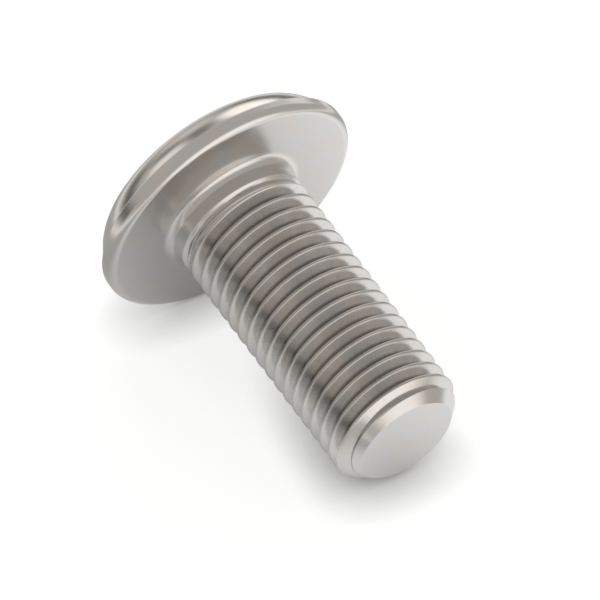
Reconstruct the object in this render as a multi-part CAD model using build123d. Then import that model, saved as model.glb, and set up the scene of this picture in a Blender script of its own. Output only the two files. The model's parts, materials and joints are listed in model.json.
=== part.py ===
from build123d import *
import math
import os

# Cheese head screw: a wide low head of two steps, a short plain neck and a
# right-hand thread, all one piece of steel. Millimetres throughout.
# It is modelled upright about Z, with the seat (the face under the head) at
# z = 0, the head above it and the shank below. At the end it is laid down on
# the table, where the flange's rim and the end of the thread carry it.

# Head, measured up from the seat
flange_diameter = 21.70
flange_thickness = 1.30
seat_edge_rounding = 0.70
back_edge_chamfer = 0.12
crown_diameter = 20.94
crown_height = 2.55  # above the flange
crown_rounding = 3.09

# Hexagon socket in the crown's top
socket_across_flats = 6.35
socket_depth = 3.60
socket_lead_in = 0.30  # on the radius, past the hexagon's corners
lead_in_angle = 60.0  # of the lead-in cone, from the screw's axis
drill_angle = 60.0  # of the drilled point under the hexagon, from the axis

# Neck between the seat and the thread
neck_length = 1.60
neck_undersize = 0.05  # on the radius, below the thread's crest
neck_fillet = 0.75
relief_depth = 0.28  # on the radius, where the rolled thread fades in
relief_length = 0.90

# Thread: unified fine form
shank_length = 24.53  # seat to tip
thread_diameter = 10.86
pitch = 1.27
flank_angle = 30.0  # from a plane square to the axis
crest_flat = pitch / 8
fade_turns = 1.0  # turns over which the groove runs out beside the neck
full_depth_start = 2.77  # below the seat, where the groove reaches its full depth
full_depth_azimuth = 126.4  # about Z from +X, of that same place
tip_chamfer = 1.36

mesh_tolerance = 0.02  # of the points that the rest position is worked out from

head_height = flange_thickness + crown_height
flange_radius = flange_diameter / 2
crown_radius = crown_diameter / 2
thread_radius = thread_diameter / 2
neck_radius = thread_radius - neck_undersize
flank_slope = math.tan(math.radians(flank_angle))
thread_depth = (pitch - crest_flat) / 2 / flank_slope
cutter_clearance = pitch / 8  # that the groove reaches outside the crest, to cut cleanly


def turned_blank():
    """Head, neck and shank before the thread is rolled: one section turned about Z.

    The crown's rounding is deeper than its step, so the crown starts inside the flange.
    """
    crown_foot = flange_thickness / 2
    relief_radius = neck_radius - relief_depth
    corners = [
        # radius, height, rounding
        (flange_radius - back_edge_chamfer, flange_thickness, 0),
        (flange_radius, flange_thickness - back_edge_chamfer, 0),
        (flange_radius, 0, seat_edge_rounding),
        (neck_radius, 0, neck_fillet),
        (neck_radius, -neck_length, 0),
        (relief_radius, -neck_length - relief_depth, 0),
        (thread_radius, -neck_length - relief_length, 0),
        (thread_radius, tip_chamfer - shank_length, 0),
        (thread_radius - tip_chamfer, -shank_length, 0),
    ]
    points = [(radius, height) for radius, height, _ in corners]
    with BuildSketch(Plane.XZ) as section:
        with BuildLine():
            FilletPolyline(
                (0, flange_thickness),
                *points,
                (0, -shank_length),
                radius=[rounding for _, _, rounding in corners],
            )
            Line((0, -shank_length), (0, flange_thickness))
        make_face()
        with BuildLine():
            FilletPolyline(
                (0, head_height),
                (crown_radius, head_height),
                (crown_radius, crown_foot),
                (0, crown_foot),
                radius=[min(crown_rounding, 0.95 * (head_height - crown_foot)), 0],
            )
            Line((0, crown_foot), (0, head_height))
        make_face()
    return revolve(section.sketch, Axis.Z)


def groove_along(path):
    """The space between two turns of the thread, swept along a helix of the crest's radius."""
    start = path @ 0
    along = path % 0
    radial = Vector(start.X, start.Y, 0).normalized()
    outward = (radial - along * radial.dot(along)).normalized()
    top_half = (pitch - crest_flat) / 2 + cutter_clearance * flank_slope
    with BuildSketch(Plane(origin=start, x_dir=outward, z_dir=along)) as section:
        with BuildLine():
            Polyline(
                (cutter_clearance, top_half),
                (-thread_depth, 0),
                (cutter_clearance, -top_half),
                close=True,
            )
        make_face()
    return sweep(section.sketch, path=path, is_frenet=True)


def with_thread(blank):
    """The blank with its groove cut turn by turn, past the tip, and faded out beside the neck."""
    fade_rise = pitch * fade_turns
    widening = math.atan2(thread_depth + cutter_clearance, fade_rise)
    fade_helix = Helix(
        pitch=pitch / math.cos(widening),
        height=fade_rise,
        radius=thread_radius,
        cone_angle=math.degrees(widening),
    )
    threaded = blank - Pos(0, 0, -full_depth_start) * groove_along(fade_helix)
    one_turn = groove_along(Helix(pitch=pitch, height=pitch, radius=thread_radius))
    turns = math.ceil((shank_length + pitch - full_depth_start) / pitch)
    for turn in range(1, turns + 1):
        threaded -= Pos(0, 0, -full_depth_start - turn * pitch) * one_turn
    return threaded


def hexagon_socket():
    """Hexagon with a countersunk mouth and a drilled point, open at the crown's top."""
    corner_radius = socket_across_flats / math.sqrt(3)
    mouth_radius = corner_radius + socket_lead_in
    mouth_depth = mouth_radius / math.tan(math.radians(lead_in_angle))
    drill_radius = socket_across_flats / 2
    drill_depth = drill_radius / math.tan(math.radians(drill_angle))
    top = Plane.XY.offset(head_height)
    floor = Plane.XY.offset(head_height - socket_depth)
    hexagon = RegularPolygon(radius=socket_across_flats / 2, side_count=6, major_radius=False)
    socket = extrude(top * hexagon, -socket_depth)
    lead_in = top * Cone(0, mouth_radius, mouth_depth, align=(Align.CENTER, Align.CENTER, Align.MAX))
    drilled = floor * Cone(0, drill_radius, drill_depth, align=(Align.CENTER, Align.CENTER, Align.MAX))
    return socket + lead_in + drilled


def laid_down(screw):
    """The screw on its side: axis in the XZ plane, tip towards +X, lowest point at z = 0.

    The axis slopes down to the tip, because the flange is wider than the thread. The slope
    is the least at which some point of the shank reaches the line that rolls on the flange's
    rounded rim. -X of the upright screw becomes its underside.
    """
    rim_centre_radius = flange_radius - seat_edge_rounding
    rim_centre_height = seat_edge_rounding
    slopes = []
    for point in screw.tessellate(mesh_tolerance)[0]:
        if point.Z < -shank_length / 2:
            drop = rim_centre_radius + point.X
            along = rim_centre_height - point.Z
            slopes.append(math.atan2(drop, along) + math.asin(seat_edge_rounding / math.hypot(drop, along)))
    slope = math.degrees(min(slopes))
    lying = Rotation(0, slope - 90, 0) * screw
    box = lying.bounding_box()
    return Pos(-box.center().X, -box.center().Y, -box.min.Z) * lying, slope


upright = Rotation(0, 0, full_depth_azimuth) * with_thread(turned_blank()) - hexagon_socket()
screw, slope = laid_down(upright)

os.makedirs("parts", exist_ok=True)
export_step(screw, "parts/screw.step")
print("axis slopes", round(slope, 3), "degrees down to the tip")
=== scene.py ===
"""Looks of the cheese head screw: the fine mesh of its one piece, finish, floor, light, camera."""

import json
import math

import bpy
import numpy as np
from mathutils import Matrix, Vector


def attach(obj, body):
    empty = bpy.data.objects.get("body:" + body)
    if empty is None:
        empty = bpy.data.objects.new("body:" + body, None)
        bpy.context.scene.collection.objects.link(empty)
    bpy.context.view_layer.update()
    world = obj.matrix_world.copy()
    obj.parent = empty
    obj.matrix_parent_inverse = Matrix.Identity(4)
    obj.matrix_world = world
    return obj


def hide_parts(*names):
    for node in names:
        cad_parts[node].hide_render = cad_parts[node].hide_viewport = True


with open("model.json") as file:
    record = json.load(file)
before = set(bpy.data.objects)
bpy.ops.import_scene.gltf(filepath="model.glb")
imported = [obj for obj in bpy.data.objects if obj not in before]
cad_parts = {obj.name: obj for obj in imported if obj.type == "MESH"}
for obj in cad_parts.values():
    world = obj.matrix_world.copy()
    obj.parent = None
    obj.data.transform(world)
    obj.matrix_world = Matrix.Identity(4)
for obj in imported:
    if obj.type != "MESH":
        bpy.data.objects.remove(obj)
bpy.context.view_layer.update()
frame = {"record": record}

MM = 0.001  # the sizes below are in millimetres, and the scene is in metres

# Sizes of the screw in its own frame: axis Z, seat at z = 0, head above it, tip below.
FLANGE_RADIUS, FLANGE_THICKNESS = 10.85, 1.30
SEAT_EDGE_ROUNDING, BACK_EDGE_CHAMFER = 0.70, 0.12
CROWN_RADIUS, CROWN_HEIGHT, CROWN_ROUNDING = 10.47, 2.55, 3.09
HEAD_HEIGHT = FLANGE_THICKNESS + CROWN_HEIGHT
SOCKET_ACROSS_FLATS, SOCKET_DEPTH, SOCKET_LEAD_IN = 6.35, 3.60, 0.30
SOCKET_ANGLE = math.radians(60)  # of the lead-in and of the drilled point, from the axis
NECK_RADIUS, NECK_LENGTH, NECK_FILLET = 5.38, 1.60, 0.75
RELIEF_DEPTH, RELIEF_LENGTH = 0.28, 0.90
SHANK_LENGTH, THREAD_RADIUS, PITCH = 24.53, 5.43, 1.27
FLANK_SLOPE = math.tan(math.radians(30))
CREST_FLAT = PITCH / 8
THREAD_DEPTH = (PITCH - CREST_FLAT) / 2 / FLANK_SLOPE
CUTTER_CLEARANCE = PITCH / 8
FULL_DEPTH_START, FULL_DEPTH_AZIMUTH = 2.77, math.radians(126.4)
TIP_CHAMFER = 1.36

# Broken edges, which the plain solid leaves sharp
EDGE = 0.06
TIP_EDGE = 0.12
CREST_EDGE = 0.07  # reach of the smooth corner between crest and flank
ROOT_EDGE = 0.05  # reach of the smooth hollow at the root

COLUMNS = 192  # round the axis, a multiple of six so that the socket's corners fall on one
ARC_STEPS_PER_TURN, LEAST_ARC_STEPS = 40, 3
# Helical rows: offsets from the root, shares of a flank, offsets from the crest's corner and middle
ROOT_ROWS, FLANK_ROWS = (0.015, 0.04), (0.15, 0.35, 0.55, 0.75)
CORNER_ROWS, CREST_ROW = (-0.06, -0.02, 0.02), 0.01
SLOPE_STEP = 0.002  # over which the surface's slope is taken

# Steel. The pairs of a smooth step say where it starts and where it ends.
STEEL_WARM, STEEL_COOL = (0.72, 0.69, 0.66, 1), (0.70, 0.698, 0.695, 1)
# The darker steel serves the marks and the painted shade on the crests; the root colour is painted
# shade in the thread's hollows.
STEEL_MARKS_AND_SHADE, PAINTED_ROOT_SHADE = (0.50, 0.48, 0.46, 1), (0.20, 0.19, 0.18, 1)
CLOUDS_PER_MM, CLOUD_DETAIL, CLOUD_STEP = 0.45, 3.0, (0.4, 0.6)
GRAINS_PER_MM, GRAIN_DETAIL = 9.0, 2.0
LINE_FINENESS, LINE_STRETCH = 14.0, 2.0  # of the turning lines, per millimetre and per radian
LINE_DETAIL, LINE_STEP, LINE_DARKNESS = 3.0, (0.45, 0.75), 0.12
CHATTER_FINENESS = 40.0  # of the marks across the flanks, per radian
CHATTER_DETAIL, CHATTER_STEP, CHATTER_DARKNESS = 2.0, (0.45, 0.7), 0.22
FLANK_STEP = (0.04, 0.14)  # in shares of the thread's depth, from the crest's corner to the flank
# Painted shade in the thread's roots, deeper with the groove's depth.
ROOT_SHADE_STEP, ROOT_SHADE_STRENGTH = (0.65, 1.0), 0.6
# How far the crests are darkened: painted shade, not a finish.
CREST_PAINTED_SHADE = 0.85
SHADED_CRESTS_FROM = (-SHANK_LENGTH + 1.4, -SHANK_LENGTH + 1.6)  # heights where the painted shade on the crests starts
SHADED_CRESTS_TO = (-3.0, -2.6)  # and end
ROUGHNESS, LINE_ROUGHNESS, GRAIN_ROUGHNESS = 0.14, 0.10, 0.06  # the least, and what the noise adds
LINE_BUMP, GRAIN_BUMP = 0.8, 0.2
BUMP_STRENGTH, BUMP_DEPTH = 0.25, 0.004

# Floor, in metres
FLOOR_COLOR = (0.52, 0.54, 0.56, 1)
FLOOR_ROUGHNESS = 0.9
FLOOR_SIDES = 96
FLOOR_MARGIN = 1.04  # of the round floor's radius, over half the view's diagonal
FLOOR_LIFT = 0.74  # what the floor lacks to white
# Reaches of the painted shadow that dims the floor's glow, where it is seen and where it is
# mirrored
SEEN_SHADE_REACH, MIRRORED_SHADE_REACH = 0.004, 0.016
POOL_MIDDLE = (0.003, 0.009, 0.0)  # of the painted pool of light that the steel mirrors
POOL_STEP, POOL_EDGE = (0.016, 0.031), 0.2  # where it fades, and what is left further out

# Studio. A height is the upward part of a direction's unit vector.
DOME, DARKEST = 0.50, 0.05
STUDIO_TINT = (1.0, 0.96, 0.90)
FLOOR_GLOW = (-0.22, -0.31)  # heights between which the room below pales to white
SOFTBOXES = [
    # azimuth, elevation, radius of its middle and of its edge, all in degrees, and brightness
    (-56, 33, 10, 20, 0.55),
    (-131, 28, 15, 24, 0.95),
    (-155, 9, 6, 16, 0.45),
    (-95, 12, 6, 16, 0.20),
    (100, -4, 22, 42, 0.72),
    (-84, 52, 4, 12, -0.2),
    (-91, 36, 4, 12, -0.3),
    (-78, 18, 4, 12, -0.3),
]
FLAG = 0.75  # share of the light that the dark flags along the horizon take
FLAG_LOW, FLAG_HIGH = (-0.24, -0.15), (-0.01, 0.12)  # heights over which their edges fade
# Azimuth of each flag, and its half widths where it starts to fade and where it ends
FLAGS = [(-42, 30, 48), (-132, 10, 24)]

# Camera: azimuth from the front, -Y, towards +X
VIEW_AZIMUTH, VIEW_ELEVATION = 56.24, 42.75
VIEW_WIDTH, VIEW_DISTANCE, VIEW_CLIP = 0.04542, 0.3, (0.001, 5)  # in metres
AIM_HEIGHT = -9.66  # on the screw's axis, in millimetres


# ---------------------------------------------------------------- geometry


def added(name, data):
    """A new object of the scene."""
    thing = bpy.data.objects.new(name, data)
    bpy.context.scene.collection.objects.link(thing)
    return thing


def unit(x, y):
    length = math.hypot(x, y)
    return x / length, y / length


def rounded_profile(corners):
    """Points (radius, height, normal) of a line through corners, each rounded by its own radius.

    The material lies to the left when the line is walked, so the normal points right.
    """
    profile = []
    for index, (r, z, rounding) in enumerate(corners):
        if index in (0, len(corners) - 1):
            other = corners[1] if index == 0 else corners[-2]
            way = unit(other[0] - r, other[1] - z)
            if index:
                way = (-way[0], -way[1])
            profile.append((r, z, way[1], -way[0]))
            continue
        before, after = corners[index - 1], corners[index + 1]
        into = unit(r - before[0], z - before[1])
        out = unit(after[0] - r, after[1] - z)
        turn = math.atan2(into[0] * out[1] - into[1] * out[0], into[0] * out[0] + into[1] * out[1])
        reach = rounding * math.tan(abs(turn) / 2)
        side = math.copysign(1, turn)
        start = (r - into[0] * reach, z - into[1] * reach)
        centre = (start[0] - into[1] * rounding * side, start[1] + into[0] * rounding * side)
        steps = max(LEAST_ARC_STEPS, math.ceil(abs(turn) / math.tau * ARC_STEPS_PER_TURN))
        for step in range(steps + 1):
            angle = turn * step / steps
            way = (
                into[0] * math.cos(angle) - into[1] * math.sin(angle),
                into[1] * math.cos(angle) + into[0] * math.sin(angle),
            )
            r, z = centre[0] + way[1] * rounding * side, centre[1] - way[0] * rounding * side
            profile.append((r, z, way[1], -way[0]))
    return profile


def smooth_min(a, b, reach):
    """The lower of a and b, with the corner between them blended over reach."""
    share = np.clip(0.5 + 0.5 * (b - a) / reach, 0, 1)
    return b + (a - b) * share - reach * share * (1 - share)


def blank_radius(z):
    """Outline of the shank before it is threaded: tip chamfer, crest line and the neck's relief."""
    chamfer = THREAD_RADIUS - TIP_CHAMFER + (z + SHANK_LENGTH)
    relief_floor = -NECK_LENGTH - RELIEF_DEPTH
    relief_radius = NECK_RADIUS - RELIEF_DEPTH
    slope = (THREAD_RADIUS - relief_radius) / (RELIEF_LENGTH - RELIEF_DEPTH)
    run_in = relief_radius + (relief_floor - z) * slope
    run_out = relief_radius + (z - relief_floor)
    relief = -smooth_min(-run_in, -run_out, EDGE)
    return smooth_min(smooth_min(chamfer, relief, EDGE), THREAD_RADIUS, EDGE)


def groove_radius(azimuth, z):
    """Outline of the thread's groove, which fades out beside the neck over its last turn."""
    turned = np.mod(azimuth - FULL_DEPTH_AZIMUTH, math.tau) / math.tau
    last_line = -FULL_DEPTH_START + PITCH * turned  # the fading groove's middle
    nearest = np.full(np.broadcast(azimuth, z).shape, np.inf)
    for faded, line in (
        (turned * (THREAD_DEPTH + CUTTER_CLEARANCE), last_line),
        (0.0, last_line - PITCH * np.maximum(1, np.round((last_line - z) / PITCH))),
    ):
        flank = np.abs(z - line) / FLANK_SLOPE
        radius = THREAD_RADIUS - THREAD_DEPTH + faded - smooth_min(-flank, 0.0, ROOT_EDGE)
        nearest = np.minimum(nearest, radius)
    return nearest


def shank_radius(azimuth, z):
    return smooth_min(blank_radius(z), groove_radius(azimuth, z), CREST_EDGE)


def thread_rows():
    """Offsets of the helical rows over one pitch, from a root's middle, closest at the corners."""
    crest, middle = (PITCH - CREST_FLAT) / 2, PITCH / 2
    half = [0, *ROOT_ROWS] + [crest * share for share in FLANK_ROWS]
    half += [crest + offset for offset in CORNER_ROWS] + [(crest + middle) / 2 + CREST_ROW, middle]
    return half[:-1] + [PITCH - offset for offset in reversed(half[1:])]


class Rings:
    """Vertices with their normals, and the faces between them, round the screw's axis."""

    def __init__(self):
        self.azimuths = np.arange(COLUMNS) * math.tau / COLUMNS
        self.points, self.normals, self.faces, self.flat, self.depths = [], [], [], [], []

    def add_points(self, radius, azimuth, z, normal_r, normal_turn, normal_z, depth=0.0):
        """Adds one vertex for each entry and returns their indices.

        Depth is how far it lies below the crests, as a share of the thread's depth.
        """
        radius, azimuth, z, normal_r, normal_turn, normal_z, depth = np.broadcast_arrays(
            radius, azimuth, z, normal_r, normal_turn, normal_z, depth
        )
        cos, sin = np.cos(azimuth), np.sin(azimuth)
        first = sum(len(block) for block in self.points)
        self.points.append(np.stack([radius * cos, radius * sin, z], -1).reshape(-1, 3))
        normal = normal_r * cos - normal_turn * sin, normal_r * sin + normal_turn * cos, normal_z
        self.normals.append(np.stack(normal, -1).reshape(-1, 3))
        self.depths.append(depth.reshape(-1))
        return np.arange(first, first + radius.size).reshape(radius.shape)

    def ring(self, radius, z, normal_r, normal_z):
        return self.add_points(radius, self.azimuths, z, normal_r, 0.0, normal_z)

    def pole(self, z, normal_z):
        return self.add_points(0.0, np.zeros(1), z, 0.0, 0.0, normal_z)

    def face(self, indices, flat=False):
        corners = [a for a, b in zip(indices, [*indices[1:], indices[0]]) if a != b]
        if len(set(corners)) > 2:
            self.faces.append(corners)
            self.flat.append(flat)

    def join(self, lower, upper, flat=False):
        """A band of faces between two rings, or between a ring and a pole."""
        for column in range(COLUMNS):
            after = (column + 1) % COLUMNS
            low = (lower[column % len(lower)], lower[after % len(lower)])
            high = (upper[column % len(upper)], upper[after % len(upper)])
            self.face([low[0], low[1], high[1], high[0]], flat)

    def stack(self, rings):
        for lower, upper in zip(rings, rings[1:]):
            self.join(lower, upper)

    def mesh(self, name, to_row):
        mesh = bpy.data.meshes.new(name)
        turn, shift = np.array(to_row.to_3x3()), np.array(to_row.translation)
        points = np.concatenate(self.points) * MM @ turn.T + shift
        mesh.from_pydata(points.tolist(), [], [[int(i) for i in face] for face in self.faces])
        normals = np.concatenate(self.normals) @ turn.T
        normals /= np.linalg.norm(normals, axis=1, keepdims=True)
        mesh.shade_smooth()
        corner_normals = []
        for polygon, flat in zip(mesh.polygons, self.flat):
            for vertex in polygon.vertices:
                corner_normals.append(polygon.normal if flat else normals[vertex])
        mesh.normals_split_custom_set([tuple(n) for n in corner_normals])
        depth = mesh.attributes.new("groove_depth", "FLOAT", "POINT")
        depth.data.foreach_set("value", np.concatenate(self.depths).astype(np.float32))
        return mesh


def tip_rings(rings):
    """Flat end face with its broken edge, up to the chamfer."""
    inner = THREAD_RADIUS - TIP_CHAMFER
    profile = rounded_profile(
        [
            (0.0, -SHANK_LENGTH, 0),
            (inner, -SHANK_LENGTH, TIP_EDGE),
            (inner + EDGE * 2, -SHANK_LENGTH + EDGE * 2, 0),
        ]
    )[1:-1]
    middle = rings.pole(-SHANK_LENGTH, -1.0)
    return [middle] + [rings.ring(*point) for point in profile]


def thread_grid(rings, low, high):
    """The thread between two heights, in rows that follow the helix and end level with both."""
    # Height of a root's middle at azimuth 0
    start = -FULL_DEPTH_START - PITCH * FULL_DEPTH_AZIMUTH / math.tau
    offsets = thread_rows()
    per_turn = len(offsets)
    first = math.floor((low - PITCH - start) / PITCH)
    last = math.ceil((high - start) / PITCH)
    turns = range(first, last + 1)
    rows = np.array([start + turn * PITCH + offset for turn in turns for offset in offsets])
    rise = PITCH * rings.azimuths / math.tau
    z = np.clip(rows[:, None] + rise[None, :], low, high)
    azimuth = np.broadcast_to(rings.azimuths[None, :], z.shape)
    radius = shank_radius(azimuth, z)
    step = SLOPE_STEP
    slope_z = (shank_radius(azimuth, z + step) - shank_radius(azimuth, z - step)) / (2 * step)
    swing = step / radius
    slope_turn = (shank_radius(azimuth + swing, z) - shank_radius(azimuth - swing, z)) / (2 * step)
    depth = np.clip((blank_radius(z) - radius) / THREAD_DEPTH, 0, 1)
    indices = rings.add_points(radius, azimuth, z, 1.0, -slope_turn, -slope_z, depth)
    columns = np.arange(COLUMNS)
    lowest = np.argmax(z > low, axis=0) - 1  # the last row that lies on the lower end
    highest = np.argmax(z >= high, axis=0)
    bottom_ring, top_ring = indices[lowest, columns], indices[highest, columns]
    for column in range(COLUMNS):
        indices[: lowest[column], column] = bottom_ring[column]
        indices[highest[column] :, column] = top_ring[column]
    for row in range(len(rows) - 1):
        for column in range(COLUMNS):
            if column + 1 < COLUMNS:
                right = (indices[row, column + 1], indices[row + 1, column + 1])
            else:
                # The helix closes on the row one turn further up.
                above = (min(row + per_turn + extra, len(rows) - 1) for extra in (0, 1))
                right = tuple(indices[index, 0] for index in above)
            rings.face([indices[row, column], right[0], right[1], indices[row + 1, column]])
    return bottom_ring, top_ring


def head_profile():
    """Neck, seat, flange and crown, from the end of the neck up to the socket's mouth.

    The crown's big rounding rises straight from the ledge, at the angle that it has there.
    """
    mouth = SOCKET_ACROSS_FLATS / math.sqrt(3) + SOCKET_LEAD_IN
    mouth_depth = EDGE * 2 / math.tan(SOCKET_ANGLE)
    chamfer = BACK_EDGE_CHAMFER
    centre_r, centre_z = CROWN_RADIUS - CROWN_ROUNDING, HEAD_HEIGHT - CROWN_ROUNDING
    straight = EDGE * 1.2  # between the ledge and the rounding, for the hollow corner
    rise = math.asin((FLANGE_THICKNESS - centre_z) / math.hypot(CROWN_ROUNDING, straight))
    rise += math.atan(straight / CROWN_ROUNDING)
    foot = centre_r + CROWN_ROUNDING * math.cos(rise) + straight * math.sin(rise)
    tangent = math.tan(math.pi / 4 - rise / 2)
    shoulder = centre_r + CROWN_ROUNDING * (math.cos(rise) - tangent * math.sin(rise))
    return rounded_profile(
        [
            (NECK_RADIUS - EDGE * 2, -NECK_LENGTH - EDGE * 2, 0),
            (NECK_RADIUS, -NECK_LENGTH, EDGE * 2),
            (NECK_RADIUS, 0.0, NECK_FILLET),
            (FLANGE_RADIUS, 0.0, SEAT_EDGE_ROUNDING),
            (FLANGE_RADIUS, FLANGE_THICKNESS - chamfer, EDGE),
            (FLANGE_RADIUS - chamfer, FLANGE_THICKNESS, EDGE),
            (foot, FLANGE_THICKNESS, EDGE),
            (shoulder, HEAD_HEIGHT, CROWN_ROUNDING),
            (mouth, HEAD_HEIGHT, EDGE),
            (mouth - EDGE * 2, HEAD_HEIGHT - mouth_depth, 0),
        ]
    )[1:-1]


def socket_rings(rings, rim):
    """Lead-in, six walls and drilled point below the rim, the last ring of the crown."""
    mouth = SOCKET_ACROSS_FLATS / math.sqrt(3) + SOCKET_LEAD_IN
    half = SOCKET_ACROSS_FLATS / 2
    sixth = math.tau / 6
    wall = half / np.cos(np.mod(rings.azimuths, sixth) - sixth / 2)
    lead_z = HEAD_HEIGHT - (mouth - wall) / math.tan(SOCKET_ANGLE)
    floor_z = HEAD_HEIGHT - SOCKET_DEPTH
    cone_normal = (-math.cos(SOCKET_ANGLE), math.sin(SOCKET_ANGLE))
    lead = rings.ring(wall, lead_z, *cone_normal)
    rings.join(rim, lead)
    top = rings.ring(wall, lead_z, -1.0, 0.0)
    bottom = rings.ring(wall, floor_z, -1.0, 0.0)
    rings.join(top, bottom, flat=True)
    shelf = rings.ring(wall, floor_z, 0.0, 1.0)
    shelf_end = rings.ring(half, floor_z, 0.0, 1.0)
    rings.join(shelf, shelf_end)
    cone = rings.ring(half, floor_z, *cone_normal)
    apex = rings.pole(floor_z - half / math.tan(SOCKET_ANGLE), 1.0)
    rings.join(cone, apex)


def screw_mesh(to_row):
    rings = Rings()
    tip = tip_rings(rings)
    rings.stack(tip)
    # The thread reaches from the end of the tip's rounded edge to just below the neck's.
    low = -SHANK_LENGTH + TIP_EDGE * (1 - math.cos(math.pi / 4))
    high = -NECK_LENGTH - EDGE * 2 * math.sin(math.pi / 8) * 2 * math.cos(math.pi / 4)
    bottom, top = thread_grid(rings, low, high)
    rings.join(tip[-1], bottom)
    head = [rings.ring(*point) for point in head_profile()]
    rings.join(top, head[0])
    rings.stack(head)
    socket_rings(rings, head[-1])
    return rings.mesh("screw_fine", to_row)


def mount(name):
    return next(m for m in frame["record"]["mounts"] if m["name"] == name)


def screw_frame():
    """From the screw's frame to the row's: the drive's mount is the middle of the head's top."""
    drive = mount("hexagon_socket")
    up = Vector(drive["axis"]).normalized()
    side = Vector((0, 1, 0))
    turned = side.cross(up).normalized()
    place = Vector(drive["pos_m"]) - up * HEAD_HEIGHT * MM
    basis = Matrix((turned, side, up)).transposed().to_4x4()
    return Matrix.Translation(place) @ basis


# ---------------------------------------------------------------- finish


class Shading:
    """Short ways to add nodes to one node tree."""

    def __init__(self, tree):
        self.nodes, self.links = tree.nodes, tree.links

    def set(self, socket, value):
        if isinstance(value, bpy.types.NodeSocket):
            self.links.new(value, socket)
        elif value is not None:
            socket.default_value = value

    def math(self, operation, a, b=None):
        node = self.nodes.new("ShaderNodeMath")
        node.operation = operation
        self.set(node.inputs[0], a)
        self.set(node.inputs[1], b)
        return node.outputs[0]

    def vector(self, operation, a, b=None, output="Vector"):
        node = self.nodes.new("ShaderNodeVectorMath")
        node.operation = operation
        self.set(node.inputs[0], a)
        self.set(node.inputs[1], b)
        return node.outputs[output]

    def scaled(self, vector, factor):
        node = self.nodes.new("ShaderNodeVectorMath")
        node.operation = "SCALE"
        self.set(node.inputs[0], vector)
        self.set(node.inputs["Scale"], factor)
        return node.outputs["Vector"]

    def openness(self, reach):
        """Share of the directions over the surface in which nothing stands within reach."""
        node = self.nodes.new("ShaderNodeAmbientOcclusion")
        node.inputs["Distance"].default_value = reach
        return node.outputs["AO"]

    def ramp(self, value, start, end, low=0.0, high=1.0):
        """Low up to start, high from end, and a smooth step between."""
        node = self.nodes.new("ShaderNodeMapRange")
        node.interpolation_type = "SMOOTHSTEP"
        names = ("Value", "From Min", "From Max", "To Min", "To Max")
        for name, given in zip(names, (value, start, end, low, high)):
            self.set(node.inputs[name], given)
        return node.outputs["Result"]

    def combine(self, x, y, z):
        node = self.nodes.new("ShaderNodeCombineXYZ")
        for socket, value in zip(node.inputs, (x, y, z)):
            self.set(socket, value)
        return node.outputs[0]

    def noise(self, place, scale, detail):
        node = self.nodes.new("ShaderNodeTexNoise")
        self.set(node.inputs["Vector"], place)
        self.set(node.inputs["Scale"], scale)
        self.set(node.inputs["Detail"], detail)
        return node.outputs["Fac"]

    def mix(self, share, a, b):
        node = self.nodes.new("ShaderNodeMix")
        node.data_type = "RGBA"
        self.set(node.inputs["Factor"], share)
        self.set(node.inputs["A"], a)
        self.set(node.inputs["B"], b)
        return node.outputs["Result"]


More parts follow.
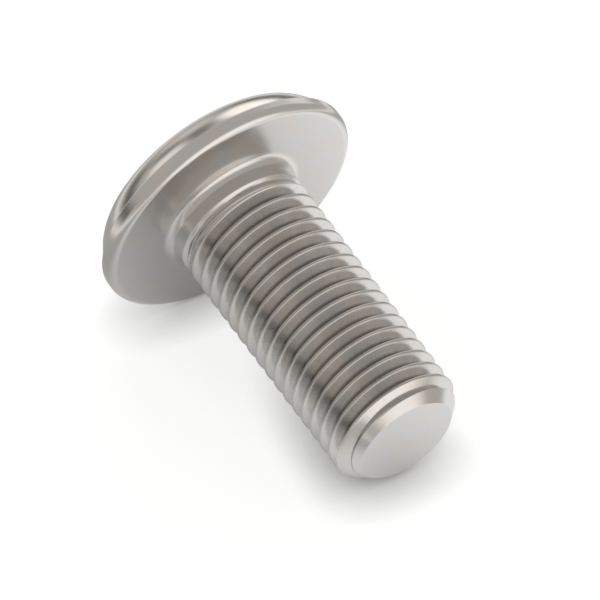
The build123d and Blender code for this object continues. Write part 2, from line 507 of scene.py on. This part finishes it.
def steel_material(to_row):
    """Satin stainless steel with turning lines and chatter marks, and painted shade on crests and
    roots.
    """
    material = bpy.data.materials.new("satin_stainless")
    material.use_nodes = True
    tree = Shading(material.node_tree)
    shader = tree.nodes["Principled BSDF"]
    shader.inputs["Metallic"].default_value = 1.0

    # The surface point in the screw's own frame, in millimetres.
    place = tree.nodes.new("ShaderNodeMapping")
    tree.set(place.inputs["Vector"], tree.nodes.new("ShaderNodeTexCoord").outputs["Object"])
    own = to_row.inverted()
    place.inputs["Scale"].default_value = (1 / MM,) * 3
    place.inputs["Rotation"].default_value = own.to_3x3().to_euler("XYZ")
    place.inputs["Location"].default_value = own.translation / MM
    own_point = place.outputs["Vector"]
    parts = tree.nodes.new("ShaderNodeSeparateXYZ")
    tree.set(parts.inputs[0], own_point)
    x, y, z = parts.outputs
    from_axis = tree.combine(x, y, 0.0)
    radius = tree.vector("LENGTH", from_axis, output="Value")
    around = tree.vector("NORMALIZE", from_axis)

    # Turning lines: fine across the radius and the axis, drawn out round the axis.
    across = tree.scaled(tree.combine(radius, z, 0.0), LINE_FINENESS)
    lines_at = tree.vector("ADD", tree.scaled(around, LINE_STRETCH), across)
    lines = tree.noise(lines_at, 1.0, LINE_DETAIL)
    # Chatter marks: fine across the turning direction, as the thread's rolls leave them.
    along = tree.combine(0.0, 0.0, z)
    chatter_at = tree.vector("ADD", tree.scaled(around, CHATTER_FINENESS), along)
    chatter = tree.noise(chatter_at, 1.0, CHATTER_DETAIL)
    clouds = tree.noise(own_point, CLOUDS_PER_MM, CLOUD_DETAIL)
    grain = tree.noise(own_point, GRAINS_PER_MM, GRAIN_DETAIL)

    attribute = tree.nodes.new("ShaderNodeAttribute")
    attribute.attribute_name = "groove_depth"
    depth = attribute.outputs["Fac"]
    flank = tree.ramp(depth, *FLANK_STEP)
    # Painted shade: the crests of the full thread, away from the tip and the neck, are darkened in
    # colour.
    crest_shade_heights = tree.math("MULTIPLY", tree.ramp(z, *SHADED_CRESTS_FROM), tree.ramp(z, *SHADED_CRESTS_TO, 1.0, 0.0))
    crest = tree.math("MULTIPLY", tree.math("SUBTRACT", 1.0, flank), crest_shade_heights)

    steel = tree.mix(tree.ramp(clouds, *CLOUD_STEP), STEEL_COOL, STEEL_WARM)
    marks = tree.math("MULTIPLY", tree.ramp(chatter, *CHATTER_STEP), CHATTER_DARKNESS)
    for share in (
        tree.math("MULTIPLY", tree.ramp(lines, *LINE_STEP), LINE_DARKNESS),
        tree.math("MULTIPLY", marks, flank),
        tree.math("MULTIPLY", crest, CREST_PAINTED_SHADE),
    ):
        steel = tree.mix(share, steel, STEEL_MARKS_AND_SHADE)
    # Painted shade in the roots: the deeper the groove, the darker the colour.
    steel = tree.mix(tree.ramp(depth, *ROOT_SHADE_STEP, 0.0, ROOT_SHADE_STRENGTH), steel, PAINTED_ROOT_SHADE)
    tree.set(shader.inputs["Base Color"], steel)

    def noisy(of_lines, of_grain):
        shares = tree.math("MULTIPLY", lines, of_lines), tree.math("MULTIPLY", grain, of_grain)
        return tree.math("ADD", *shares)

    roughness = tree.math("ADD", ROUGHNESS, noisy(LINE_ROUGHNESS, GRAIN_ROUGHNESS))
    tree.set(shader.inputs["Roughness"], roughness)
    bump = tree.nodes.new("ShaderNodeBump")
    tree.set(bump.inputs["Height"], noisy(LINE_BUMP, GRAIN_BUMP))
    bump.inputs["Strength"].default_value = BUMP_STRENGTH
    bump.inputs["Distance"].default_value = BUMP_DEPTH * MM
    tree.set(shader.inputs["Normal"], bump.outputs["Normal"])
    return material


# ---------------------------------------------------------------- stage


def direction(azimuth, elevation):
    """Unit vector; azimuth from the front, -Y, towards +X."""
    azimuth, elevation = math.radians(azimuth), math.radians(elevation)
    level = math.cos(elevation)
    return math.sin(azimuth) * level, -math.cos(azimuth) * level, math.sin(elevation)


def studio_world():
    """A pale room: a soft dome with a few softboxes and some dark flags near the horizon."""
    world = bpy.data.worlds.new("studio")
    bpy.context.scene.world = world
    world.use_nodes = True
    tree = Shading(world.node_tree)
    way = tree.nodes.new("ShaderNodeTexCoord").outputs["Generated"]
    parts = tree.nodes.new("ShaderNodeSeparateXYZ")
    tree.set(parts.inputs[0], way)
    height = parts.outputs[2]
    light = DOME
    for azimuth, elevation, inner, outer, amount in SOFTBOXES:
        facing = tree.vector("DOT_PRODUCT", way, direction(azimuth, elevation), output="Value")
        edges = math.cos(math.radians(outer)), math.cos(math.radians(inner))
        light = tree.math("ADD", light, tree.ramp(facing, *edges, 0.0, amount))
    low_edge, high_edge = tree.ramp(height, *FLAG_LOW), tree.ramp(height, *FLAG_HIGH, 1.0, 0.0)
    level = tree.math("MULTIPLY", low_edge, high_edge)
    for azimuth, inner, outer in FLAGS:
        facing = tree.vector("DOT_PRODUCT", way, direction(azimuth, 0), output="Value")
        edges = math.cos(math.radians(outer)), math.cos(math.radians(inner))
        share = tree.ramp(facing, *edges, 0.0, FLAG)
        kept = tree.math("SUBTRACT", 1.0, tree.math("MULTIPLY", level, share))
        light = tree.math("MULTIPLY", light, kept)
    light = tree.math("MAXIMUM", light, DARKEST)
    light = tree.math("MAXIMUM", light, tree.ramp(height, *FLOOR_GLOW))
    tree.set(tree.nodes["Background"].inputs["Color"], tree.scaled(STUDIO_TINT, light))


def pale_floor(view):
    """A round floor, a little larger than what the camera sees of it.

    Its glow adds what it lacks to white where it is seen or mirrored, and a painted shadow from the
    nearby screw dims that glow. What the steel mirrors is a painted pool of light that fades away
    from the screw, with a wider painted shadow, so that edges stay clear on white.
    """
    back = view.matrix_basis.to_3x3() @ Vector((0, 0, 1))
    middle = view.location - back * (view.location.z / back.z)
    half = view.data.ortho_scale / 2
    reach = math.hypot(half, half / back.z) * FLOOR_MARGIN
    turns = [math.tau * side / FLOOR_SIDES for side in range(FLOOR_SIDES)]
    rim = [(middle.x + reach * math.cos(a), middle.y + reach * math.sin(a), 0) for a in turns]
    mesh = bpy.data.meshes.new("floor")
    mesh.from_pydata(rim, [], [range(FLOOR_SIDES)])
    pale = bpy.data.materials.new("pale_floor")
    pale.use_nodes = True
    tree = Shading(pale.node_tree)
    shader = tree.nodes["Principled BSDF"]
    shader.inputs["Base Color"].default_value = FLOOR_COLOR
    shader.inputs["Roughness"].default_value = FLOOR_ROUGHNESS
    shader.inputs["Specular IOR Level"].default_value = 0.0
    shader.inputs["Emission Color"].default_value = (1, 1, 1, 1)
    # The floor's glow is painted light, and the openness below paints the screw's shadow into it.
    path = tree.nodes.new("ShaderNodeLightPath").outputs
    seen = tree.math("MAXIMUM", path["Is Camera Ray"], path["Is Transmission Ray"])
    seen = tree.math("MULTIPLY", seen, tree.openness(SEEN_SHADE_REACH))
    # A painted pool of light, seen only in the steel, fades away from the screw.
    place = tree.nodes.new("ShaderNodeNewGeometry").outputs["Position"]
    away = tree.vector("DISTANCE", place, POOL_MIDDLE, output="Value")
    painted_pool = tree.ramp(away, *POOL_STEP, 1.0, POOL_EDGE)
    mirrored = tree.math("MULTIPLY", path["Is Glossy Ray"], painted_pool)
    mirrored = tree.math("MULTIPLY", mirrored, tree.openness(MIRRORED_SHADE_REACH))
    lift = tree.math("MULTIPLY", tree.math("ADD", seen, mirrored), FLOOR_LIFT)
    tree.set(shader.inputs["Emission Strength"], lift)
    mesh.materials.append(pale)
    floor = added("floor", mesh)


# ---------------------------------------------------------------- camera


def camera(to_row):
    """Looks at the screw from beyond its tip, from the side and above, with no perspective."""
    back = Vector(direction(VIEW_AZIMUTH, VIEW_ELEVATION))
    data = bpy.data.cameras.new("camera")
    data.type = "ORTHO"
    data.ortho_scale = VIEW_WIDTH
    data.clip_start, data.clip_end = VIEW_CLIP
    view = added("camera", data)
    view.rotation_mode = "QUATERNION"
    view.rotation_quaternion = back.to_track_quat("Z", "Y")
    view.location = to_row @ Vector((0, 0, AIM_HEIGHT * MM)) + back * VIEW_DISTANCE
    bpy.context.scene.camera = view
    return view


to_row = screw_frame()
screw = added("screw_fine", screw_mesh(to_row))
screw.data.materials.append(steel_material(to_row))
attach(screw, "root")
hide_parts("screw")

view = camera(to_row)
pale_floor(view)
studio_world()
bpy.context.scene.view_settings.view_transform = "Standard"
